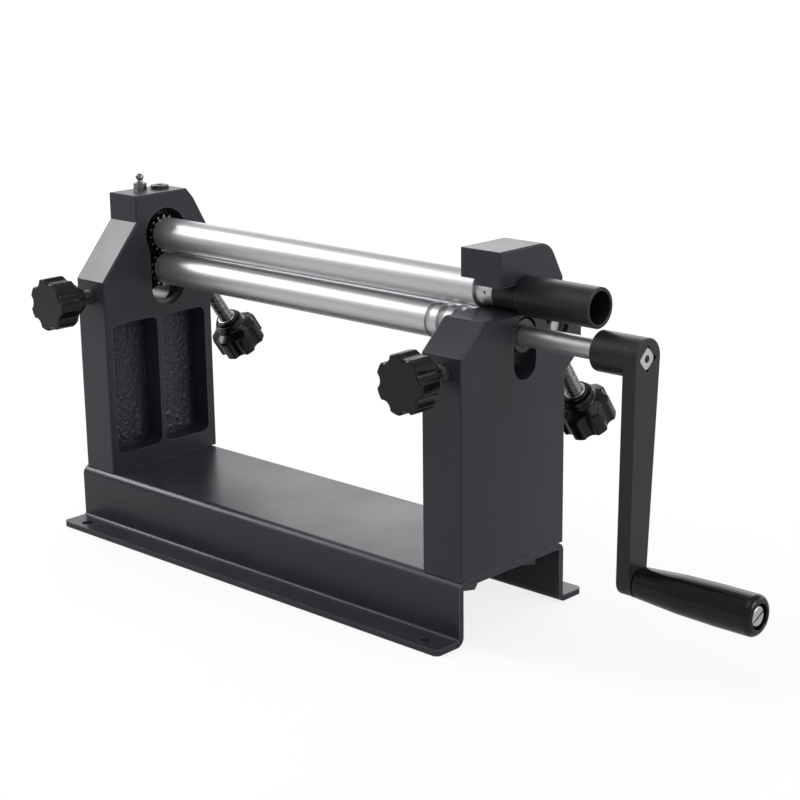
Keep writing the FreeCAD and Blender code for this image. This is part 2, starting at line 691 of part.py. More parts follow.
def lower_roll():
    body = turned("lower_roll", [
        (f"-{OUTER} + 0.8", "0"),
        (f"-{OUTER} + 0.8", "journal_radius", "0.6"),
        (f"-{ROLL_END}", "journal_radius"),
        (f"-{ROLL_END}", "roll_radius", "0.8"),
        (f"{INNER} - 2", "roll_radius", "0.8"),
        (f"{INNER} - 2", "journal_radius"),
        ("crank_face - 0.8", "journal_radius", "0.6"),
        ("crank_face - 0.8", "0"),
    ])
    cut_wire_grooves(body, "lower_wire_grooves")
    cut_keyway(body, "lower_keyway")
    flats = new_sketch(body, "shaft_flats", "YZ_Plane", depth="crank_hub_start + 12",
                       turn="45 - arm_lean")
    draw_circle(flats, "0", "0", "journal_radius + 2")
    draw_box(flats, "-square_half", "square_half", "-square_half", "square_half")
    cut(body, flats, "40", reverse=True)
    tapped = new_sketch(body, "shaft_centre_hole", "YZ_Plane", depth="crank_face")
    draw_circle(tapped, "0", "0", "2.5")
    cut(body, tapped, "14")
    place(body, "0", "axis_back", LOWER)
    return body


def rear_roll():
    end = f"({OUTER} - 4.5)"
    body = turned("rear_roll", [
        (f"-{end}", "0"),
        (f"-{end}", "rear_journal", "0.8"),
        (f"-{INNER} + 2", "rear_journal"),
        (f"-{INNER} + 2", "roll_radius", "0.8"),
        (f"{INNER} - 2", "roll_radius", "0.8"),
        (f"{INNER} - 2", "rear_journal"),
        (end, "rear_journal", "0.8"),
        (end, "0"),
    ])
    cut_wire_grooves(body, "rear_wire_grooves")
    place(body, "0", "rear_back", "rear_height")
    return body


def flank_points(side):
    """Points of an involute flank, from its foot outwards, mirrored by side."""
    pitch = number("gear_module*gear_teeth/2")
    base = pitch * math.cos(math.radians(20))
    half_tooth = math.pi / (2 * number("gear_teeth")) - math.radians(0.75)
    roll_at_pitch = math.sqrt((pitch / base) ** 2 - 1)
    lead = half_tooth + roll_at_pitch - math.atan(roll_at_pitch)
    points = []
    steps = 4
    for i in range(steps + 1):
        radius = base + (number("gear_tip") - base) * i / steps
        unroll = math.sqrt((radius / base) ** 2 - 1)
        angle = side * (lead - unroll + math.atan(unroll))
        points.append((radius, angle))
    return points


def gear_shape():
    """A spur gear round the X axis with involute flanks, its bore and its keyway."""
    def at(radius, angle):
        return Vector(0, radius * math.sin(angle), radius * math.cos(angle))

    root, tip, width = number("gear_root"), number("gear_tip"), number("gear_width")
    pitch_angle = 2 * math.pi / number("gear_teeth")
    foot = abs(flank_points(1)[0][1])
    edges = []
    for tooth in range(int(number("gear_teeth"))):
        middle = tooth * pitch_angle
        rising = [at(radius, middle + angle) for radius, angle in flank_points(-1)]
        falling = [at(radius, middle + angle) for radius, angle in reversed(flank_points(1))]
        start, stop = at(root, middle - foot), at(root, middle + foot)
        following = at(root, middle + pitch_angle - foot)
        flanks = []
        for points in (rising, falling):
            curve = Part.BSplineCurve()
            curve.interpolate(points)
            flanks.append(curve)
        crown = Part.Arc(rising[-1], at(tip, middle), falling[0])
        valley = Part.Arc(stop, at(root, middle + pitch_angle / 2), following)
        edges += [Part.LineSegment(start, rising[0]), flanks[0], crown, flanks[1],
                  Part.LineSegment(falling[-1], stop), valley]
    wire = Part.Wire([edge.toShape() for edge in edges])
    solid = Part.Face(wire).extrude(Vector(width, 0, 0))
    along = Vector(1, 0, 0)
    bore = Part.makeCylinder(number("journal_radius") + 0.01, width, Vector(), along)
    keyway = Part.makeBox(width, KEY_WIDE, KEY_TOP, Vector(0, -KEY_WIDE / 2, 0))
    return solid.cut(bore).cut(keyway)


def gear(label, height):
    item = doc.addObject("Part::Feature", label)
    item.Label = label
    item.Shape = gear_shape()
    x = -number(f"{INNER} + gear_inset + gear_width")
    item.Placement = FreeCAD.Placement(
        Vector(x, number("axis_back"), number(height)), FreeCAD.Rotation())
    return item


def gear_key(label, height):
    item = doc.addObject("Part::Box", label)
    item.Label = label
    bind(item, "Length", "gear_width")
    bind(item, "Width", f"{KEY_WIDE} - 0.04")
    bind(item, "Height", f"{KEY_TOP} - {KEY_FOOT} - 0.07")
    place(item, f"-{INNER} - gear_inset - gear_width", f"axis_back - {KEY_WIDE}/2 + 0.02",
          f"{height} + {KEY_FOOT} + 0.02")
    return item


def swivel_bush():
    ball = doc.addObject("Part::Sphere", "swivel_ball")
    bind(ball, "Radius", "swivel_radius")
    slab = doc.addObject("Part::Cylinder", "swivel_slab")
    bind(slab, "Radius", "swivel_radius + 1")
    bind(slab, "Height", "2*swivel_half")
    place(slab, "-swivel_half", axis=(0, 1, 0), angle="90")
    middle = doc.addObject("Part::Common", "swivel_middle")
    middle.Base, middle.Tool = ball, slab
    bore = doc.addObject("Part::Cylinder", "swivel_bore")
    bind(bore, "Radius", "tail_radius + 0.05")
    bind(bore, "Height", "40")
    place(bore, "-20", axis=(0, 1, 0), angle="90")
    bush = doc.addObject("Part::Cut", "swivel_bush")
    bush.Base, bush.Tool = middle, bore
    bush.Label = "swivel_bush"
    place(bush, f"-{INNER} - swivel_inset", "axis_back", "upper_height")
    return bush


def ring(label, x, inner, outer, thick):
    body = turned(label, [("0", inner), ("0", outer), (thick, outer), (thick, inner)])
    place(body, x, "axis_back", "upper_height")
    return body


def lower_bush(label, start, stop):
    body = turned(label, [
        (start, "journal_radius + 0.05", "0.5"),
        (start, "bush_radius", "0.8"),
        (stop, "bush_radius", "0.8"),
        (stop, "journal_radius + 0.05", "0.5"),
    ])
    place(body, "0", "axis_back", LOWER)
    return body


def rear_block(label, start):
    body = new_body(label)
    sketch = new_sketch(body, label + "_section", "YZ_Plane", turn="90 - rear_angle")
    draw_box(sketch, "-block_side", "block_side", "-block_half", "block_half", "block_round")
    draw_circle(sketch, "0", "0", "rear_journal + 0.05")
    pad(body, sketch, "frame_thick - 4")
    place(body, start, "rear_back", "rear_height")
    return body


def thrust_cone(label, x):
    body = turned(label, [
        ("cone_base - cone_back", "0"),
        ("cone_base - cone_back", "screw_radius", "0.6"),
        ("cone_base", "screw_radius"),
        ("cone_base + (screw_radius - cone_tip)/tan(cone_angle)", "cone_tip"),
        ("cone_base + (screw_radius - cone_tip)/tan(cone_angle)", "0"),
    ], "YZ_Plane")
    place(body, x, "0", "front_height")
    return body


def adjusting_screw(label, inner, outer):
    return turned(label, [
        (inner, "0"), (inner, "screw_radius", "1"),
        (outer, "screw_radius", "1"), (outer, "0")], "YZ_Plane")


def knob_insert(label):
    return turned(label, [
        ("-0.6", "screw_radius"), ("-0.6", "insert_radius", "0.5"),
        ("insert_deep", "insert_radius"), ("insert_deep", "screw_radius")], "YZ_Plane")


def star_knob(label):
    """A seven-lobed hand knob: a turned grip with round flutes, behind a stepped hub."""
    body = turned(label, [
        ("0", "insert_radius"),
        ("0", "collar_radius", "0.6"),
        ("3", "collar_radius"),
        ("3", "hub_radius", "0.8"),
        ("9", "hub_radius", "2.5"),
        ("13", "knob_radius", "2.5"),
        ("knob_length", "knob_radius", "1.4"),
        ("knob_length", "0"),
        ("insert_deep", "0"),
        ("insert_deep", "insert_radius"),
    ], "YZ_Plane")
    sketch = new_sketch(body, label + "_flute", "XZ_Plane")
    draw_circle(sketch, "knob_radius + flute_out", "0", "flute_radius")
    flute = cut(body, sketch, middle=True)
    flutes = polar(body, flute, "knob_lobes", sketch)
    reach = number("knob_radius") - 3
    soften(body, flutes, "1.6", lambda edge, middle:
           math.hypot(middle.x, middle.z) > reach and 10 < middle.y < number("knob_length") - 1)
    return body


FRONT_PLACES = {"left": f"-{INNER} - screw_inset", "right": f"{INNER} + screw_inset"}


def front_adjuster(side):
    """Thrust cone, screw, insert and knob of one front adjuster, all along Y."""
    x = FRONT_PLACES[side]
    cone = thrust_cone(f"{side}_thrust_cone", x)
    screw = adjusting_screw(f"{side}_front_screw", "-front_hub - 16",
                            "cone_base - cone_back - 0.05")
    insert = knob_insert(f"{side}_front_insert")
    knob = star_knob(f"{side}_front_knob")
    place(screw, x, "0", "front_height")
    for item in (insert, knob):
        place(item, x, "-front_hub", "front_height", (0, 0, 1), "180")
    return [cone, screw, insert, knob]


def rear_adjuster(side):
    """Screw, insert and knob of one rear adjuster, along the rear roll's travel."""
    x = FRONT_PLACES[side]
    screw = adjusting_screw(f"{side}_rear_screw", "block_half + 0.05", "rear_hub + 16")
    insert = knob_insert(f"{side}_rear_insert")
    knob = star_knob(f"{side}_rear_knob")
    place(screw, x, "rear_back", "rear_height", (1, 0, 0), "-rear_angle")
    for item in (insert, knob):
        place(item, x, "rear_back + rear_hub*cos(rear_angle)",
              "rear_height - rear_hub*sin(rear_angle)", (1, 0, 0), "-rear_angle")
    return [screw, insert, knob]


def crank_arm():
    body = new_body("crank_arm")
    taper = "(crank_hub - arm_end)/arm_length"
    arm = new_sketch(body, "crank_arm_outline", "YZ_Plane", depth="crank_face - arm_thick")
    foot_corner = (f"arm_end*(1 - {taper})", "-arm_length - arm_end", "arm_end - 0.1")
    head_corner = (f"crank_hub*(1 + {taper})", "crank_hub", "crank_hub - 0.1")
    draw_outline(arm, [
        ("-" + foot_corner[0], *foot_corner[1:]), foot_corner,
        head_corner, ("-" + head_corner[0], *head_corner[1:])])
    bar = pad(body, arm, "arm_thick")
    soften(body, bar, "1", lambda edge, middle: edge.BoundBox.XLength < 0.01)
    hub = new_sketch(body, "crank_hub_section", "YZ_Plane", depth="crank_hub_start")
    draw_circle(hub, "0", "0", "crank_hub")
    pad(body, hub, "crank_face - crank_hub_start - 3")
    boss = new_sketch(body, "crank_boss", "YZ_Plane", depth="crank_face")
    draw_circle(boss, "0", "-arm_length", "arm_end + 0.3")
    pad(body, boss, "1.6")
    bore = new_sketch(body, "crank_bore", "YZ_Plane", depth="crank_hub_start")
    draw_circle(bore, "0", "0", "journal_radius + 0.03")
    cut(body, bore, "12", reverse=True)
    socket = new_sketch(body, "crank_socket", "YZ_Plane", turn="45")
    draw_box(socket, "-socket_half", "socket_half", "-socket_half", "socket_half")
    cut(body, socket, middle=True)
    thread = new_sketch(body, "crank_thread", "YZ_Plane")
    draw_circle(thread, "0", "-arm_length", "4.02")
    cut(body, thread, middle=True)
    place(body, "0", "axis_back", LOWER, (1, 0, 0), "-arm_lean")
    return body


GRIP_BACK = "axis_back - arm_length*sin(arm_lean)"
GRIP_HEIGHT = f"{LOWER} - arm_length*cos(arm_lean)"


def handle_grip():
    start = "crank_face + 2.1"
    body = turned("handle_grip", [
        (start, "5.2"),
        (start, "10.4", "1.6"),
        ("crank_face + 34", "12.7", "90"),
        ("crank_face + 62", "13.4", "90"),
        ("grip_end", "13.4", "4.5"),
        ("grip_end", "8.2", "0.8"),
        ("grip_end - 6", "8.2"),
        ("grip_end - 6", "5.2"),
    ])
    place(body, "0", GRIP_BACK, GRIP_HEIGHT)
    return body


def grip_spindle():
    body = turned("grip_spindle", [
        ("crank_face - arm_thick + 0.5", "0"),
        ("crank_face - arm_thick + 0.5", "4", "0.5"),
        ("crank_face + 1.6", "4"),
        ("crank_face + 1.6", "4.9"),
        ("grip_end - 5.7", "4.9"),
        ("grip_end - 5.7", "6.8"),
        ("grip_end - 1.2", "6.8", "1.6"),
        ("grip_end - 1.2", "0"),
    ])
    slot = new_sketch(body, "spindle_slot", "YZ_Plane", depth="grip_end - 1.2", turn="25")
    draw_box(slot, "-8", "8", "-0.8", "0.8")
    cut(body, slot, "1.6")
    place(body, "0", GRIP_BACK, GRIP_HEIGHT)
    return body


def hexagon(body, name, depth, across):
    sketch = new_sketch(body, name, "XY_Plane", depth=depth)
    draw_outline(sketch, [
        (f"{across}/sqrt(3)*cos({60 * k})", f"{across}/sqrt(3)*sin({60 * k})")
        for k in range(6)])
    return sketch


def grease_nipple():
    body = new_body("grease_nipple")
    thread = new_sketch(body, "nipple_shank", "XY_Plane", depth="-6.5")
    draw_circle(thread, "0", "0", "2.95")
    pad(body, thread, "6.5")
    collar = hexagon(body, "nipple_hexagon", "0", "9")
    pad(body, collar, "4.4")
    profile = new_sketch(body, "nipple_profile", "XZ_Plane")
    draw_outline(profile, [
        ("0", "4.2"), ("5.3", "4.2", "0.4"), ("5.3", "5.6", "0.4"), ("2.7", "6.1"),
        ("2.1", "7.6"), ("3.3", "9.4", "1.4"), ("2.9", "11.6", "1.2"), ("1.2", "12.7"),
        ("0", "12.7")])
    head = body.newObject("PartDesign::Revolution", "nipple_head")
    head.Profile = profile
    head.ReferenceAxis = (profile, ["V_Axis"])
    head.Angle = 360
    doc.recompute()
    place(body, f"-{INNER} - nipple_inset", "nipple_back", "head_top")
    return body


def oil_plug():
    body = new_body("oil_plug")
    thread = new_sketch(body, "plug_shank", "XY_Plane", depth="-8")
    draw_circle(thread, "0", "0", "4.95")
    pad(body, thread, "8")
    head = new_sketch(body, "plug_head", "XY_Plane")
    draw_circle(head, "0", "0", "7.2")
    disc = pad(body, head, "2.8")
    soften(body, disc, "1", lambda edge, middle:
           abs(middle.z - 2.8) < 0.01)
    socket = hexagon(body, "plug_socket", "2.8", "5")
    cut(body, socket, "2.4")
    place(body, f"-{INNER} - plug_inset", "plug_back", "head_top")
    return body


def frame_bolt_places():
    for end in (-1, 1):
        for side in (-1, 1):
            x = end * number(f"{INNER} + frame_thick/2")
            yield x, number(FRAME_MIDDLE) + side * number("bolt_row")


def frame_bolts():
    """Four hexagon bolts driven up through the base into the frames, as one group."""
    head = 6.4
    plate_under = number("base_height - sheet_thick")
    low = plate_under - 2 - head
    solids = []
    for x, y in frame_bolt_places():
        corners = [
            Vector(x + 9.8 * math.cos(math.radians(60 * k)),
                   y + 9.8 * math.sin(math.radians(60 * k)), low) for k in range(7)]
        hexagon_head = Part.Face(Part.makePolygon(corners)).extrude(Vector(0, 0, head))
        shank = Part.makeCylinder(number("bolt_radius") - 0.02, 57 - plate_under + 2,
                                  Vector(x, y, plate_under - 2))
        solids.append(hexagon_head.fuse(shank).removeSplitter())
    item = doc.addObject("Part::Feature", "frame_bolts")
    item.Label = "frame_bolts"
    item.Shape = Part.makeCompound(solids)
    return item


def frame_washers():
    low = number("base_height - sheet_thick - 2")
    solids = []
    for x, y in frame_bolt_places():
        disc = Part.makeCylinder(10.5, 2, Vector(x, y, low))
        solids.append(disc.cut(Part.makeCylinder(5.3, 2, Vector(x, y, low))))
    item = doc.addObject("Part::Feature", "frame_washers")
    item.Label = "frame_washers"
    item.Shape = Part.makeCompound(solids)
    return item


def build():
    clip = f"-{INNER} - swivel_inset - swivel_half - 1.45"
    items = [
        base_channel(), left_frame(), right_frame(), latch_cap(), cap_hinge_pin(),
        upper_roll(), release_handle(), handle_pin(), lower_roll(), rear_roll(),
        gear("upper_gear", "upper_height"), gear("lower_gear", LOWER),
        gear_key("upper_gear_key", "upper_height"), gear_key("lower_gear_key", LOWER),
        swivel_bush(),
        ring("swivel_retaining_ring", f"-{INNER} - swivel_inset - 6.98",
             "8.9", "swivel_radius + 0.78", "1.15"),
        ring("upper_roll_clip", clip, "tail_radius - 0.5", "7.8", "1"),
        lower_bush("left_lower_bush", f"-{OUTER} + 0.4", f"-{INNER} - chamber_deep - 0.3"),
        lower_bush("right_lower_bush", f"{INNER} + 0.6", f"{OUTER} - 0.8"),
        rear_block("left_rear_block", f"-{OUTER} + 2.5"),
        rear_block("right_rear_block", f"{INNER} + 1.5"),
        crank_arm(), handle_grip(), grip_spindle(),
        grease_nipple(), oil_plug(), frame_bolts(), frame_washers(),
    ]
    for side in FRONT_PLACES:
        items += front_adjuster(side)
        items += rear_adjuster(side)
    doc.recompute()
    return items


def check(items):
    for item in doc.Objects:
        if "Invalid" in item.State or "Error" in item.State:
            raise RuntimeError(f"{item.Name} failed: {item.State}")
    for item in items:
        if item.Shape.isNull() or not item.Shape.isValid() or not item.Shape.Solids:
            raise RuntimeError(f"{item.Label} has no valid shape")


def write(items):
    os.makedirs("parts", exist_ok=True)
    for item in items:
        item.Shape.exportStep(os.path.join("parts", item.Label + ".step"))


pieces = build()
check(pieces)
write(pieces)
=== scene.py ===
"""Looks of a bench slip roll machine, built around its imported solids."""
import json
import math

import bmesh
import bpy
from bpy.props import FloatProperty, FloatVectorProperty, IntProperty, PointerProperty
from mathutils import Matrix, Vector


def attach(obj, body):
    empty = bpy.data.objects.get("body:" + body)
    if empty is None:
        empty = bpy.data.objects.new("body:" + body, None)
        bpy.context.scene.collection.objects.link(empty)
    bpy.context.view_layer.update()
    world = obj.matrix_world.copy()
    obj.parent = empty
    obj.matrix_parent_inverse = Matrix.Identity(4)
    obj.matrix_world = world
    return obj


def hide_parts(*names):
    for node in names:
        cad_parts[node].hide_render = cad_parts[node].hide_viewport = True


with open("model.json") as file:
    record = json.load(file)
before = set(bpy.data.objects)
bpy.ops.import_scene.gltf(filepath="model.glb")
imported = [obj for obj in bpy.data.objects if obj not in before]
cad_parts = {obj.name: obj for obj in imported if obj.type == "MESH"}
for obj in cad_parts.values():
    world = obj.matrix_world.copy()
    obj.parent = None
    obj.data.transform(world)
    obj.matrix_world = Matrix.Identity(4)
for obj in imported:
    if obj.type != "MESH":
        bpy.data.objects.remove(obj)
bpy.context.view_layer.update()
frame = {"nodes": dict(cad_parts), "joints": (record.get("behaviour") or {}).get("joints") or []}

bl_info = {
    "name": "Slip Roll Machine Looks",
    "version": (1, 0, 0),
    "blender": (4, 5, 0),
    "location": "View3D > Sidebar > Slip Roll",
    "description": "Finishes, threads and cast skins of a bench slip roll machine",
    "category": "Object",
}

NODES = frame["nodes"]
SIDES = ("left", "right")
ENDS = ("front", "rear")


# Settings a user would change

class FinishSettings(bpy.types.PropertyGroup):
    """Colours and surface sizes of the finishes."""
    paint: FloatVectorProperty(
        name="Paint", description="Colour of the castings and the base",
        default=(0.025, 0.0252, 0.033), subtype="COLOR")
    dark_paint: FloatVectorProperty(
        name="Handle paint", description="Colour of the crank arm and the release handle",
        default=(0.016, 0.016, 0.018), subtype="COLOR")
    steel: FloatVectorProperty(
        name="Ground steel", description="Colour of the rolls and shafts",
        default=(0.60, 0.58, 0.54), subtype="COLOR")
    plastic: FloatVectorProperty(
        name="Plastic", description="Colour of the knobs and the grip",
        default=(0.0028, 0.0028, 0.0032), subtype="COLOR")
    peel: FloatProperty(
        name="Orange peel", description="Height of the waviness of the paint",
        default=0.00009, unit="LENGTH")
    # The lighter edge line is partly rubbed paint and partly a painted highlight of light
    # catching the edges
    wear_and_highlight: FloatProperty(
        name="Edge wear", description="Width of the rubbed line along the painted edges",
        default=0.0012, unit="LENGTH")


class ThreadSettings(bpy.types.PropertyGroup):
    """Sizes of the adjusting screws' threads."""
    pitch: FloatProperty(
        name="Pitch", description="Advance of the thread for each turn",
        default=0.00175, unit="LENGTH")
    depth: FloatProperty(
        name="Depth", description="Height of the thread over its core",
        default=0.0010, unit="LENGTH")
    points: IntProperty(
        name="Points per turn", description="Fineness of the thread's helix", default=28)


class SkinSettings(bpy.types.PropertyGroup):
    """Sizes of the rough skins in the hollows of the castings."""
    height: FloatProperty(
        name="Lump height", description="Highest lump of the rough skin",
        default=0.0018, unit="LENGTH")
    grain: FloatProperty(
        name="Lump scale", description="Number of lumps in a metre", default=330.0)
    seed: IntProperty(
        name="Seed", description="Place of the noise that makes the lumps", default=3)


class StageSettings(bpy.types.PropertyGroup):
    """Camera, floor and lamps."""
    camera: FloatVectorProperty(
        name="Camera", description="Place of the camera",
        default=(0.9296, -0.89156, 0.47231), subtype="TRANSLATION", unit="LENGTH")
    yaw: FloatProperty(
        name="Yaw", description="Heading of the view from +Y towards +X",
        default=math.radians(-43.10), subtype="ANGLE")
    pitch: FloatProperty(
        name="Pitch", description="Angle of the view below the horizon",
        default=math.radians(15.29), subtype="ANGLE")
    roll: FloatProperty(
        name="Roll", description="Turn of the camera round its view",
        default=math.radians(-0.68), subtype="ANGLE")
    lens: FloatProperty(
        name="Focal length", description="Focal length on a 36 mm wide sensor",
        default=82.34, unit="CAMERA")
    floor: FloatVectorProperty(
        name="Floor", description="Colour of the floor",
        default=(0.52, 0.52, 0.52), subtype="COLOR")
    backdrop: FloatProperty(
        name="Backdrop", description="Brightness of the low white wall behind the machine",
        default=1.6)
    ceiling: FloatProperty(
        name="Ceiling", description="Brightness of the rest of the studio", default=0.46)


SETTINGS = {
    "slip_roll_finish": FinishSettings,
    "slip_roll_thread": ThreadSettings,
    "slip_roll_skin": SkinSettings,
    "slip_roll_stage": StageSettings,
}


# Node helpers

def add(tree, kind, inputs=None, **settings):
    """A node with its settings, its values and its links."""
    node = tree.nodes.new(kind)
    for name, value in settings.items():
        setattr(node, name, value)
    for name, value in (inputs or {}).items():
        socket = node.inputs[name]
        if isinstance(value, bpy.types.NodeSocket):
            tree.links.new(value, socket)
        else:
            socket.default_value = value
    return node


def colour(value, factor=1.0, lift=0.0):
    """A colour with its alpha, times a factor and plus a lift."""
    return (*(channel * factor + lift for channel in value), 1.0)


def new_material(name, base, metallic=0.0, roughness=0.4, **values):
    """A material with its shader; returns the material, its tree and the shader."""
    material = bpy.data.materials.new(name)
    material.use_nodes = True
    tree = material.node_tree
    shader = tree.nodes["Principled BSDF"]
    shader.inputs["Base Color"].default_value = colour(base)
    shader.inputs["Metallic"].default_value = metallic
    shader.inputs["Roughness"].default_value = roughness
    for key, value in values.items():
        shader.inputs[key.replace("_", " ")].default_value = value
    return material, tree, shader


def place_on_object(tree, scale=(1, 1, 1)):
    """Object coordinates, stretched by a scale along each axis."""
    where = add(tree, "ShaderNodeTexCoord")
    return add(tree, "ShaderNodeMapping", {"Vector": where.outputs["Object"], "Scale": scale},
               vector_type="POINT").outputs["Vector"]


def noise(tree, vector, scale, detail=3.0, roughness=0.5):
    """Fractal noise; its scale is the number of repeats in a metre."""
    return add(tree, "ShaderNodeTexNoise", {
        "Vector": vector, "Scale": scale, "Detail": detail, "Roughness": roughness,
    }).outputs["Fac"]


def spread(tree, value, low, high, start=0.3, stop=0.7):
    """A value stretched smoothly from start..stop to low..high."""
    return add(tree, "ShaderNodeMapRange", {
        "Value": value, "From Min": start, "From Max": stop, "To Min": low, "To Max": high,
    }, interpolation_type="SMOOTHSTEP").outputs["Result"]


def math_node(tree, operation, *values):
    """The result of one sum, product or other operation."""
    inputs = dict(enumerate(values))
    return add(tree, "ShaderNodeMath", inputs, operation=operation).outputs[0]


# Rubbed and highlighted edges, a lighter line that is partly wear and partly a painted
# highlight: samples of the bevel, the cosines of its turn where the line is full and where it
# ends, and how the noise breaks it up (see spread)
EDGE_SAMPLES = 4
EDGE_TURN = (0.86, 0.985)
EDGE_BREAKS = (0.15, 1, 0.35, 0.65)


def edge_share(tree, width, grain):
    """How much a point lies on an outer edge, broken up by a noise."""
    rounded = add(tree, "ShaderNodeBevel", {"Radius": width}, samples=EDGE_SAMPLES)
    plain = add(tree, "ShaderNodeNewGeometry").outputs["Normal"]
    same = add(tree, "ShaderNodeVectorMath", {0: rounded.outputs["Normal"], 1: plain},
               operation="DOT_PRODUCT")
    turned = spread(tree, same.outputs["Value"], 1, 0, *EDGE_TURN)
    return math_node(tree, "MULTIPLY", turned, spread(tree, grain, *EDGE_BREAKS))


def mix(tree, amount, first, second):
    """A colour between two; the colours of this node are its sockets 6 and 7."""
    inputs = {0: amount, 6: first, 7: second}
    return add(tree, "ShaderNodeMix", inputs, data_type="RGBA").outputs[2]


def bump(tree, height, distance, strength=1.0, normal=None):
    """A normal tilted by a height pattern, over another one if that is given."""
    inputs = {"Height": height, "Distance": distance, "Strength": strength}
    if normal is not None:
        inputs["Normal"] = normal
    return add(tree, "ShaderNodeBump", inputs).outputs["Normal"]


def wire(tree, shader, **values):
    """Link results to the shader's sockets; an underscore stands for a space."""
    for key, value in values.items():
        tree.links.new(value, shader.inputs[key.replace("_", " ")])


def close_on(tree, output, share, plain, seen):
    """End a tree in a mix of two shaders."""
    mixed = add(tree, "ShaderNodeMixShader", {0: share, 1: plain.outputs[0], 2: seen.outputs[0]})
    add(tree, output, {"Surface": mixed.outputs[0]})


def placed(name, data):
    """A new object in the scene."""
    item = bpy.data.objects.new(name, data)
    bpy.context.scene.collection.objects.link(item)
    return item


def finish_of(name, maker, *values):
    """A finish made once and then shared."""
    return bpy.data.materials.get(name) or maker(name, *values)


def dress(nodes, material):
    """Give CAD nodes their finish."""
    for node in nodes:
        item = NODES[node]
        if not item.material_slots:
            item.data.materials.append(material)
        for slot in item.material_slots:
            slot.material = material


# Finishes

# Repeats in a metre of the noise behind each pattern
PAINT_WAVES, PAINT_DUST, PAINT_PATCHES, PAINT_EDGE_BREAKUP = 620, 2400, 9, 130
STEEL_RINGS, STEEL_SMUDGES = 2600, 30
PLASTIC_WAVES, PLASTIC_MARKS = 120, 45
METAL_GRIT = 1800

# Ground steel: the rings run round X, so the noise is stretched across it
RING_STRETCH = (1, 0.02, 0.02)

# Heights of the fine relief, in metres, and the dust's height as a share of the peel's
RING_HEIGHT, PLASTIC_HEIGHT, GRIT_HEIGHT = 0.00001, 0.00008, 0.00002
RING_STRENGTH = 0.35
DUST_SHARE = 0.2

# Roughness and specular level of the finishes, and how far patterns make the roughness stray
STEEL_ROUGHNESS, PLASTIC_ROUGHNESS = 0.15, 0.12
PAINT_SPECULAR, PLASTIC_SPECULAR = 0.36, 0.3
RING_STRAY, SMUDGE_STRAY = (-0.04, 0.06), (-0.02, 0.05)
PLASTIC_STRAY, METAL_STRAY = (-0.04, 0.1), (-0.08, 0.1)

# Tones as factors of the base colour; a rubbed edge, lighter partly from wear and partly as a
# painted highlight, is also lifted towards white
PATCH_DARK, PATCH_LIGHT = 0.86, 1.14
EDGE_RUB_AND_HIGHLIGHT, EDGE_RUB_AND_HIGHLIGHT_LIFT = 4, 0.03
RING_DARK = 0.9
MARK_LIGHT = 1.8

# Paints: the setting with the colour, its factor, the peel's factor and the roughness
PAINTS = {
    "charcoal_enamel": ("paint", 1, 1, (0.27, 0.38)),
    # The bays' rough enamel is the same paint made 1.9 times lighter: painted light catching the
    # rough bay floors
    "rough_enamel": ("paint", 1.9, 2, (0.22, 0.34)),
    "black_enamel": ("dark_paint", 1, 0.8, (0.32, 0.44)),
}

# Metals: colour, roughness, share that the patches darken, and patches in a metre
METALS = {
    "bright_zinc": ((0.62, 0.61, 0.59), 0.3, 0.15, 60),
    "dull_zinc": ((0.33, 0.325, 0.32), 0.24, 0.5, 400),
    "oiled_steel": ((0.42, 0.41, 0.40), 0.22, 0.4, 90),
    "dark_steel": ((0.10, 0.099, 0.098), 0.32, 0.4, 60),
}


def blend(tree, pattern, first, second):
    """A colour that follows a pattern from the first to the second."""
    return mix(tree, spread(tree, pattern, 0, 1), first, second)


def strayed(tree, pattern, roughness, stray):
    """A roughness that a pattern makes uneven."""
    below, above = stray
    return spread(tree, pattern, roughness + below, roughness + above)


def paint_finish(name, base, peel, wear_and_highlight, gloss):
    """Sprayed enamel: orange peel, dust, slightly uneven gloss and lighter edges, partly rubbed
    and partly a painted highlight.
    """
    material, tree, shader = new_material(name, base, Specular_IOR_Level=PAINT_SPECULAR)
    where = place_on_object(tree)
    waves = noise(tree, where, PAINT_WAVES, detail=2.0, roughness=0.45)
    dust = noise(tree, where, PAINT_DUST, detail=1.0)
    patches = noise(tree, where, PAINT_PATCHES, detail=4.0)
    edge_breakup = noise(tree, where, PAINT_EDGE_BREAKUP, detail=4.0, roughness=0.6)
    coat = blend(tree, patches, colour(base, PATCH_DARK), colour(base, PATCH_LIGHT))
    # The edges get a lighter colour: partly rubbed paint, partly a painted highlight
    wire(tree, shader,
         Normal=bump(tree, dust, peel * DUST_SHARE, normal=bump(tree, waves, peel)),
         Roughness=spread(tree, patches, *gloss),
         Base_Color=mix(tree, edge_share(tree, wear_and_highlight, edge_breakup), coat,
                        colour(base, EDGE_RUB_AND_HIGHLIGHT, EDGE_RUB_AND_HIGHLIGHT_LIFT)))
    return material


def steel_finish(name, base):
    """Ground steel: fine rings round the axis and slightly uneven polish."""
    material, tree, shader = new_material(name, base, metallic=1.0, roughness=STEEL_ROUGHNESS)
    rings = noise(tree, place_on_object(tree, RING_STRETCH), STEEL_RINGS,
                  detail=2.0, roughness=0.6)
    smudges = noise(tree, place_on_object(tree), STEEL_SMUDGES)
    wire(tree, shader,
         Normal=bump(tree, rings, RING_HEIGHT, RING_STRENGTH),
         Roughness=math_node(tree, "ADD", strayed(tree, rings, STEEL_ROUGHNESS, RING_STRAY),
                             strayed(tree, smudges, 0, SMUDGE_STRAY)),
         Base_Color=blend(tree, rings, colour(base, RING_DARK), colour(base)))
    return material


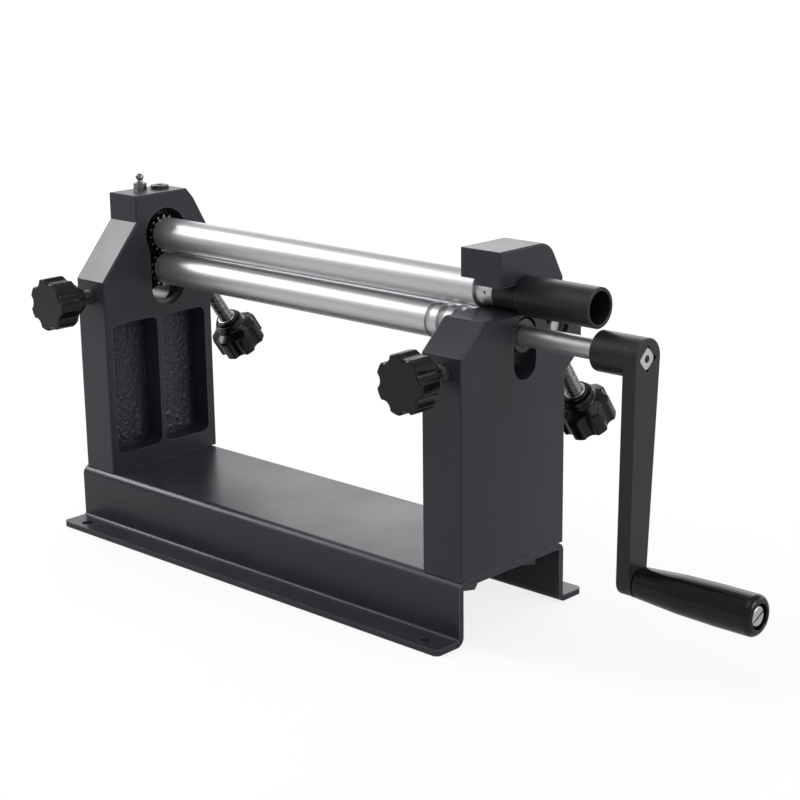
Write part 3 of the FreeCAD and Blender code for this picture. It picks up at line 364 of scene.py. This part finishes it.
def plastic_finish(name, base):
    """Moulded phenolic: deep gloss with a faint waviness and handling marks."""
    material, tree, shader = new_material(name, base, Specular_IOR_Level=PLASTIC_SPECULAR)
    where = place_on_object(tree)
    waves = noise(tree, where, PLASTIC_WAVES, detail=2.0)
    marks = noise(tree, where, PLASTIC_MARKS, detail=5.0, roughness=0.6)
    wire(tree, shader,
         Normal=bump(tree, waves, PLASTIC_HEIGHT),
         Roughness=strayed(tree, marks, PLASTIC_ROUGHNESS, PLASTIC_STRAY),
         Base_Color=blend(tree, marks, colour(base), colour(base, MARK_LIGHT)))
    return material


def metal_finish(name, base, roughness, mottling, scale):
    """Plated, cast or oiled metal with uneven tone and gloss."""
    material, tree, shader = new_material(name, base, metallic=1.0, roughness=roughness)
    where = place_on_object(tree)
    patches = noise(tree, where, scale, detail=5.0, roughness=0.6)
    grit = noise(tree, where, METAL_GRIT, detail=1.0)
    wire(tree, shader,
         Normal=bump(tree, grit, GRIT_HEIGHT),
         Roughness=strayed(tree, patches, roughness, METAL_STRAY),
         Base_Color=blend(tree, patches, colour(base, 1 - mottling), colour(base)))
    return material


def enamel(name):
    """One of the paints, with the colour, peel and wear of the settings."""
    wanted = bpy.context.scene.slip_roll_finish
    source, tone, peel, gloss = PAINTS[name]
    base = [channel * tone for channel in getattr(wanted, source)]
    return finish_of(name, paint_finish, base, wanted.peel * peel, wanted.wear_and_highlight, gloss)


def metal(name):
    """One of the metals."""
    return finish_of(name, metal_finish, *METALS[name])


# Operators

class SLIPROLL_OT_paint_castings(bpy.types.Operator):
    """Paint the frames, the cap and the bent base."""
    bl_idname = "slip_roll.paint_castings"
    bl_label = "Paint castings"

    def execute(self, context):
        dress(("base_channel", "left_frame", "right_frame", "latch_cap"),
              enamel("charcoal_enamel"))
        dress(("crank_arm", "release_handle"), enamel("black_enamel"))
        return {"FINISHED"}


class SLIPROLL_OT_grind_rolls(bpy.types.Operator):
    """Give the rolls with their shafts, and the two pins, ground steel."""
    bl_idname = "slip_roll.grind_rolls"
    bl_label = "Grind rolls"

    def execute(self, context):
        dress(("upper_roll", "lower_roll", "rear_roll", "handle_pin", "cap_hinge_pin"),
              finish_of("ground_steel", steel_finish, context.scene.slip_roll_finish.steel))
        return {"FINISHED"}


class SLIPROLL_OT_mould_knobs(bpy.types.Operator):
    """Give the star knobs and the crank's grip their glossy black."""
    bl_idname = "slip_roll.mould_knobs"
    bl_label = "Mould knobs"

    def execute(self, context):
        knobs = [f"{side}_{end}_knob" for side in SIDES for end in ENDS]
        dress(knobs + ["handle_grip"], finish_of(
            "black_phenolic", plastic_finish, context.scene.slip_roll_finish.plastic))
        return {"FINISHED"}


class SLIPROLL_OT_finish_fittings(bpy.types.Operator):
    """Finish the gears, bushes, blocks, bolts and small fittings."""
    bl_idname = "slip_roll.finish_fittings"
    bl_label = "Finish fittings"

    def execute(self, context):
        inserts = [f"{side}_{end}_insert" for side in SIDES for end in ENDS]
        dress(inserts + ["grip_spindle"], metal("bright_zinc"))
        dress(("grease_nipple",), metal("dull_zinc"))
        dress(("upper_gear", "lower_gear", "upper_gear_key", "lower_gear_key"),
              metal("oiled_steel"))
        dress(("left_rear_block", "right_rear_block", "swivel_retaining_ring", "swivel_bush",
               "upper_roll_clip", "oil_plug", "left_lower_bush", "right_lower_bush",
               "left_thrust_cone", "right_thrust_cone", "frame_bolts", "frame_washers"),
              metal("dark_steel"))
        return {"FINISHED"}


# Grown pieces

def open_tree(name, sizes, counts):
    """A new geometry tree with its named inputs; returns it and what it is given."""
    tree = bpy.data.node_groups.new(name, "GeometryNodeTree")
    kinds = {**dict.fromkeys(sizes, "Float"), **dict.fromkeys(counts, "Int"),
             "Material": "Material"}
    for title, kind in kinds.items():
        tree.interface.new_socket(title, in_out="INPUT", socket_type="NodeSocket" + kind)
    tree.interface.new_socket("Geometry", in_out="OUTPUT", socket_type="NodeSocketGeometry")
    return tree, tree.nodes.new("NodeGroupInput").outputs


def close_tree(tree, geometry, material):
    """Make the result real and give it its material."""
    real = add(tree, "GeometryNodeRealizeInstances", {"Geometry": geometry})
    coated = add(tree, "GeometryNodeSetMaterial", {
        "Geometry": real.outputs["Geometry"], "Material": material})
    add(tree, "NodeGroupOutput", {"Geometry": coated.outputs["Geometry"]})
    return tree


# Screws: radius over the thread, sides of the core, corners of the thread's profile, and
# the plain core left at each end, in depths of the thread
SCREW_RADIUS = 0.00595
CORE_SIDES = 32
RIDGE_CORNERS = 4
BARE_END = 2.0


def thread_tree():
    """Geometry nodes of one threaded screw along Z: a core and the helix of its thread."""
    tree, given = open_tree("screw_thread", ("Radius", "Pitch", "Depth", "Length"), ("Points",))
    core_radius = math_node(tree, "SUBTRACT", given["Radius"], given["Depth"])
    ends = math_node(tree, "MULTIPLY", given["Depth"], 2 * BARE_END)
    threaded = math_node(tree, "SUBTRACT", given["Length"], ends)
    turns = math_node(tree, "DIVIDE", threaded, given["Pitch"])
    core = add(tree, "GeometryNodeMeshCylinder", {
        "Vertices": CORE_SIDES, "Radius": core_radius, "Depth": given["Length"]})
    middle = add(tree, "ShaderNodeCombineXYZ", {
        "Z": math_node(tree, "MULTIPLY", given["Length"], 0.5)})
    stood = add(tree, "GeometryNodeTransform", {
        "Geometry": core.outputs["Mesh"], "Translation": middle.outputs[0]})
    helix = add(tree, "GeometryNodeCurveSpiral", {
        "Resolution": given["Points"], "Rotations": turns, "Start Radius": core_radius,
        "End Radius": core_radius, "Height": threaded})
    raised = add(tree, "ShaderNodeCombineXYZ", {
        "Z": math_node(tree, "MULTIPLY", given["Depth"], BARE_END)})
    lifted = add(tree, "GeometryNodeTransform", {
        "Geometry": helix.outputs["Curve"], "Translation": raised.outputs[0]})
    profile = add(tree, "GeometryNodeCurvePrimitiveCircle", {
        "Resolution": RIDGE_CORNERS, "Radius": given["Depth"]})
    ridge = add(tree, "GeometryNodeCurveToMesh", {
        "Curve": lifted.outputs["Geometry"], "Profile Curve": profile.outputs["Curve"],
        "Fill Caps": True})
    joined = add(tree, "GeometryNodeJoinGeometry")
    for part in (stood.outputs["Geometry"], ridge.outputs["Mesh"]):
        tree.links.new(part, joined.inputs["Geometry"])
    return close_tree(tree, joined.outputs["Geometry"], given["Material"])


def grown(name, tree, values):
    """A piece made by geometry nodes and turned into a plain mesh."""
    start = bpy.data.meshes.new(name + "_start")
    item = placed(name + "_grower", start)
    modifier = item.modifiers.new("grow", "NODES")
    modifier.node_group = tree
    sockets = {socket.name: socket.identifier for socket in tree.interface.items_tree
               if socket.item_type == "SOCKET" and socket.in_out == "INPUT"}
    for key, value in values.items():
        modifier[sockets[key]] = value
    bpy.context.view_layer.update()
    evaluated = item.evaluated_get(bpy.context.evaluated_depsgraph_get())
    mesh = bpy.data.meshes.new_from_object(evaluated)
    mesh.name = name
    item.modifiers.remove(modifier)
    bpy.data.objects.remove(item)
    bpy.data.meshes.remove(start)
    return placed(name, mesh)


def along(start, direction):
    """Matrix that brings a piece made up the Z axis to its start and direction."""
    turn = Vector((0, 0, 1)).rotation_difference(Vector(direction).normalized())
    return Matrix.Translation(start) @ turn.to_matrix().to_4x4()


def joint_of(child):
    """The joint that moves a body."""
    return next(joint for joint in frame["joints"] if joint["child"] == child)


def span_along(node, start, direction):
    """Lowest and highest distance of a node's points along a line."""
    way = Vector(direction).normalized()
    reach = [(vertex.co - Vector(start)).dot(way) for vertex in NODES[node].data.vertices]
    return min(reach), max(reach)


class SLIPROLL_OT_cut_threads(bpy.types.Operator):
    """Cut the threads of the four adjusting screws."""
    bl_idname = "slip_roll.cut_threads"
    bl_label = "Cut threads"

    def execute(self, context):
        wanted = context.scene.slip_roll_thread
        tree = thread_tree()
        for side in SIDES:
            for end in ENDS:
                body, node = f"{side}_{end}_adjuster", f"{side}_{end}_screw"
                joint = joint_of(body)
                start, way = Vector(joint["pos_m"]), Vector(joint["axis"]).normalized()
                low, high = span_along(node, start, way)
                piece = grown(f"{side}_{end}_thread", tree, {
                    "Radius": SCREW_RADIUS, "Pitch": wanted.pitch, "Depth": wanted.depth,
                    "Length": high - low, "Points": wanted.points,
                    "Material": metal("dark_steel" if end == "front" else "dull_zinc")})
                piece.data.transform(along(start + way * low, way))
                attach(piece, body)
                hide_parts(node)
        return {"FINISHED"}


# Cast skins

# Bays of the castings: their spans along Y, their foot and top along Z, the distance of
# their floors from the machine's middle, and the way along X in which they open
BAYS = {"front": (-0.0432, -0.0033), "rear": (0.0053, 0.0452)}
BAY_FOOT, BAY_TOP = 0.0603, 0.1587
BAY_FLOOR = 0.181
BAY_WAYS = {"left": 1, "right": -1}

# Skins: thickness, width of the flat border, and points of the grid across and up
SKIN_THICK = 0.0006
SKIN_BORDER = 0.003
SKIN_POINTS = (90, 210)

# The noise's detail and its stretch along each side, for the lumps and for the runs of
# the paint
LUMP_DETAIL, RUN_DETAIL = 6.0, 2.0
LUMP_STRETCH, RUN_STRETCH = (1, 0.8, 0), (0.35, 0.05, 0)
# How noise becomes lumps and runs, and height up the bay a factor (see spread)
LUMP_RANGE = (0, 1, 0.40, 0.85)
RUN_RANGE = (0, 0.8, 0.50, 0.72)
FOOT_RANGE = (1.5, 0.6, -0.5, -0.2)


def skin_tree():
    """Geometry nodes of a rough cast skin: a thin slab whose face is lumpy and runny."""
    sizes = ("Width", "Height", "Thickness", "Lump Height", "Lump Scale")
    tree, given = open_tree("cast_skin", sizes, ("Seed",))
    size = add(tree, "ShaderNodeCombineXYZ", {
        "X": given["Width"], "Y": given["Height"], "Z": given["Thickness"]})
    slab = add(tree, "GeometryNodeMeshCube", {
        "Size": size.outputs[0], "Vertices X": SKIN_POINTS[0], "Vertices Y": SKIN_POINTS[1],
        "Vertices Z": 2})
    where = add(tree, "GeometryNodeInputPosition").outputs[0]
    apart = add(tree, "ShaderNodeSeparateXYZ", {"Vector": where}).outputs

    def lumps(detail, stretch):
        moved = add(tree, "ShaderNodeVectorMath", {0: where, 1: stretch}, operation="MULTIPLY")
        return add(tree, "ShaderNodeTexNoise", {
            "Vector": moved.outputs[0], "W": given["Seed"], "Scale": given["Lump Scale"],
            "Detail": detail}, noise_dimensions="4D").outputs[0]

    coarse = spread(tree, lumps(LUMP_DETAIL, LUMP_STRETCH), *LUMP_RANGE)
    runs = spread(tree, lumps(RUN_DETAIL, RUN_STRETCH), *RUN_RANGE)
    share_up = math_node(tree, "DIVIDE", apart["Y"], given["Height"])
    foot = spread(tree, share_up, *FOOT_RANGE)
    rough = math_node(tree, "MULTIPLY", math_node(tree, "ADD", coarse, runs), foot)

    def kept_from_edge(place, whole):
        gap = math_node(tree, "SUBTRACT", math_node(tree, "MULTIPLY", whole, 0.5),
                        math_node(tree, "ABSOLUTE", place))
        return spread(tree, gap, 0, 1, 0.0, SKIN_BORDER)

    border = math_node(tree, "MULTIPLY", kept_from_edge(apart["X"], given["Width"]),
                       kept_from_edge(apart["Y"], given["Height"]))
    lift = math_node(tree, "MULTIPLY", math_node(tree, "MULTIPLY", rough, border),
                     given["Lump Height"])
    offset = add(tree, "ShaderNodeCombineXYZ", {"Z": lift})
    upper = add(tree, "FunctionNodeCompare", {"A": apart["Z"], "B": 0.0},
                data_type="FLOAT", operation="GREATER_THAN")
    raised = add(tree, "GeometryNodeSetPosition", {
        "Geometry": slab.outputs["Mesh"], "Selection": upper.outputs[0],
        "Offset": offset.outputs[0]})
    return close_tree(tree, raised.outputs["Geometry"], given["Material"])


class SLIPROLL_OT_cast_skins(bpy.types.Operator):
    """Lay the rough cast skin on the floors of the frames' bays."""
    bl_idname = "slip_roll.cast_skins"
    bl_label = "Cast skins"

    def execute(self, context):
        wanted = context.scene.slip_roll_skin
        tree = skin_tree()
        for number, (side, way) in enumerate(BAY_WAYS.items()):
            for count, (bay, (near, far)) in enumerate(BAYS.items()):
                # The skins get the lighter enamel, painted light on the bays' floors
                piece = grown(f"{side}_{bay}_skin", tree, {
                    "Width": far - near, "Height": BAY_TOP - BAY_FOOT,
                    "Thickness": SKIN_THICK, "Lump Height": wanted.height,
                    "Lump Scale": wanted.grain, "Seed": wanted.seed + 2 * number + count,
                    "Material": enamel("rough_enamel")})
                turn = Matrix(((0, 0, way), (way, 0, 0), (0, 1, 0))).to_4x4()
                middle = Vector((-way * BAY_FLOOR, (near + far) / 2, (BAY_FOOT + BAY_TOP) / 2))
                piece.data.transform(Matrix.Translation(middle) @ turn)
                piece.data.shade_smooth()
                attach(piece, "stand")
        return {"FINISHED"}


# Stage

class SLIPROLL_OT_set_stage(bpy.types.Operator):
    """Set the camera, the floor and the lamps."""
    bl_idname = "slip_roll.set_stage"
    bl_label = "Set stage"

    def execute(self, context):
        wanted = context.scene.slip_roll_stage
        set_camera(wanted)
        set_floor(wanted)
        set_world(wanted)
        set_lamps()
        context.scene.view_settings.view_transform = "Standard"
        return {"FINISHED"}


SENSOR_WIDTH = 36
CLIP_END = 100


def set_camera(wanted):
    """A camera from its place, heading, downward angle and roll."""
    yaw, pitch, roll = wanted.yaw, wanted.pitch, wanted.roll
    view = Vector((math.sin(yaw) * math.cos(pitch), math.cos(yaw) * math.cos(pitch),
                   -math.sin(pitch)))
    right = view.cross(Vector((0, 0, 1))).normalized()
    up = right.cross(view)
    rolled_right = right * math.cos(roll) + up * math.sin(roll)
    rolled_up = up * math.cos(roll) - right * math.sin(roll)
    data = bpy.data.cameras.new("camera")
    data.sensor_width = SENSOR_WIDTH
    data.lens = wanted.lens
    data.clip_end = CLIP_END
    rotation = Matrix((rolled_right, rolled_up, -view)).transposed().to_4x4()
    camera = placed("camera", data)
    camera.matrix_world = Matrix.Translation(wanted.camera) @ rotation
    bpy.context.scene.camera = camera


WHITE = (1, 1, 1, 1)
# Floor: its half side, its drop under the machine, and the strength of its plain white
FLOOR_REACH = 40
FLOOR_DROP = 0.0003
FLOOR_STRENGTH = 1.25
# Share of plain white on the floor: near the machine, far off, and where near ends and
# far begins; and the share that mirrors show
WHITE_SPREAD = (0.66, 1.0, 0.4, 2.0)
MIRROR_SHARE = 0.3


def seen_directly(tree):
    """1 for what the camera shows, also through glass, and 0 for other light."""
    rays = add(tree, "ShaderNodeLightPath").outputs
    return math_node(tree, "MAXIMUM", rays["Is Camera Ray"], rays["Is Transmission Ray"])


def set_floor(wanted):
    """A wide pale floor, white to the camera, that keeps a soft shadow near the machine."""
    mesh = bpy.data.meshes.new("floor")
    shape = bmesh.new()
    bmesh.ops.create_grid(shape, x_segments=1, y_segments=1, size=FLOOR_REACH,
                          matrix=Matrix.Translation((0, 0, -FLOOR_DROP)))
    shape.to_mesh(mesh)
    shape.free()
    floor = placed("floor", mesh)
    material = bpy.data.materials.new("pale_floor")
    material.use_nodes = True
    tree = material.node_tree
    tree.nodes.clear()
    diffuse = add(tree, "ShaderNodeBsdfDiffuse", {"Color": colour(wanted.floor)})
    white = add(tree, "ShaderNodeEmission", {"Color": WHITE, "Strength": FLOOR_STRENGTH})
    distance = add(tree, "ShaderNodeVectorMath", {0: place_on_object(tree)}, operation="LENGTH")
    share = spread(tree, distance.outputs["Value"], *WHITE_SPREAD)
    glossy = add(tree, "ShaderNodeLightPath").outputs["Is Glossy Ray"]
    mirrored = math_node(tree, "MULTIPLY", MIRROR_SHARE, glossy)
    shown = math_node(tree, "MAXIMUM", seen_directly(tree), mirrored)
    close_on(tree, "ShaderNodeOutputMaterial", math_node(tree, "MULTIPLY", shown, share),
             diffuse, white)
    mesh.materials.append(material)


STUDIO_TINT = (0.97, 0.98, 1.0)
# The bright wall in the directions of view: foot and top along Z, and its edge along Y
WALL_FOOT, WALL_TOP, WALL_SIDE = (0.02, 0.14), (0.3, 0.55), (0.0, 0.5)


def set_world(wanted):
    """A soft studio with a bright low wall behind the machine; white to the camera."""
    world = bpy.data.worlds.new("studio")
    bpy.context.scene.world = world
    world.use_nodes = True
    tree = world.node_tree
    tree.nodes.clear()
    where = add(tree, "ShaderNodeTexCoord").outputs["Generated"]
    apart = add(tree, "ShaderNodeSeparateXYZ", {"Vector": where}).outputs
    low = math_node(tree, "MULTIPLY", spread(tree, apart["Z"], 0, 1, *WALL_FOOT),
                    spread(tree, apart["Z"], 1, 0, *WALL_TOP))
    behind = spread(tree, apart["Y"], 0, 1, *WALL_SIDE)
    glow = math_node(tree, "MULTIPLY", low, behind)
    light = math_node(tree, "MULTIPLY_ADD", glow, wanted.backdrop - wanted.ceiling,
                      wanted.ceiling)
    soft = add(tree, "ShaderNodeBackground", {"Color": colour(STUDIO_TINT), "Strength": light})
    white = add(tree, "ShaderNodeBackground", {"Color": WHITE, "Strength": 1.0})
    close_on(tree, "ShaderNodeOutputWorld", seen_directly(tree), soft, white)


# Softboxes: name, place, width and power in watts; all are aimed at one point
LAMP_AIM = (0, 0, 0.14)
LAMPS = (
    ("left_softbox", (-0.98, -0.36, 0.80), 0.54, 8.0),
    ("top_softbox", (0.3, -0.7, 2.3), 1.6, 9),
    ("right_softbox", (2.2, 0.5, 1.2), 1.2, 16),
    ("back_softbox", (-1.2, 2.0, 1.6), 1.6, 12),
)


def set_lamps():
    """Softboxes aimed at the middle of the machine."""
    for name, place, size, power in LAMPS:
        lamp = bpy.data.lights.new(name, "AREA")
        lamp.shape = "SQUARE"
        lamp.size = size
        lamp.energy = power
        turn = (Vector(LAMP_AIM) - Vector(place)).to_track_quat("-Z", "Y")
        placed(name, lamp).matrix_world = (
            Matrix.Translation(place) @ turn.to_matrix().to_4x4())


# The add-on

STEPS = (
    SLIPROLL_OT_paint_castings,
    SLIPROLL_OT_grind_rolls,
    SLIPROLL_OT_mould_knobs,
    SLIPROLL_OT_finish_fittings,
    SLIPROLL_OT_cut_threads,
    SLIPROLL_OT_cast_skins,
    SLIPROLL_OT_set_stage,
)


class SLIPROLL_PT_panel(bpy.types.Panel):
    """The steps that dress the machine."""
    bl_idname = "SLIPROLL_PT_panel"
    bl_label = "Slip Roll Machine"
    bl_space_type = "VIEW_3D"
    bl_region_type = "UI"
    bl_category = "Slip Roll"

    def draw(self, context):
        for name, group in SETTINGS.items():
            box = self.layout.box()
            for key in group.__annotations__:
                box.prop(getattr(context.scene, name), key)
        for step in STEPS:
            self.layout.operator(step.bl_idname)


CLASSES = (*SETTINGS.values(), *STEPS, SLIPROLL_PT_panel)


def register():
    for kind in CLASSES:
        bpy.utils.register_class(kind)
    for name, group in SETTINGS.items():
        setattr(bpy.types.Scene, name, PointerProperty(type=group))


def unregister():
    for name in SETTINGS:
        delattr(bpy.types.Scene, name)
    for kind in reversed(CLASSES):
        bpy.utils.unregister_class(kind)


def main():
    register()
    for step in STEPS:
        area, name = step.bl_idname.split(".")
        getattr(getattr(bpy.ops, area), name)()


if __name__ == "__main__":
    main()
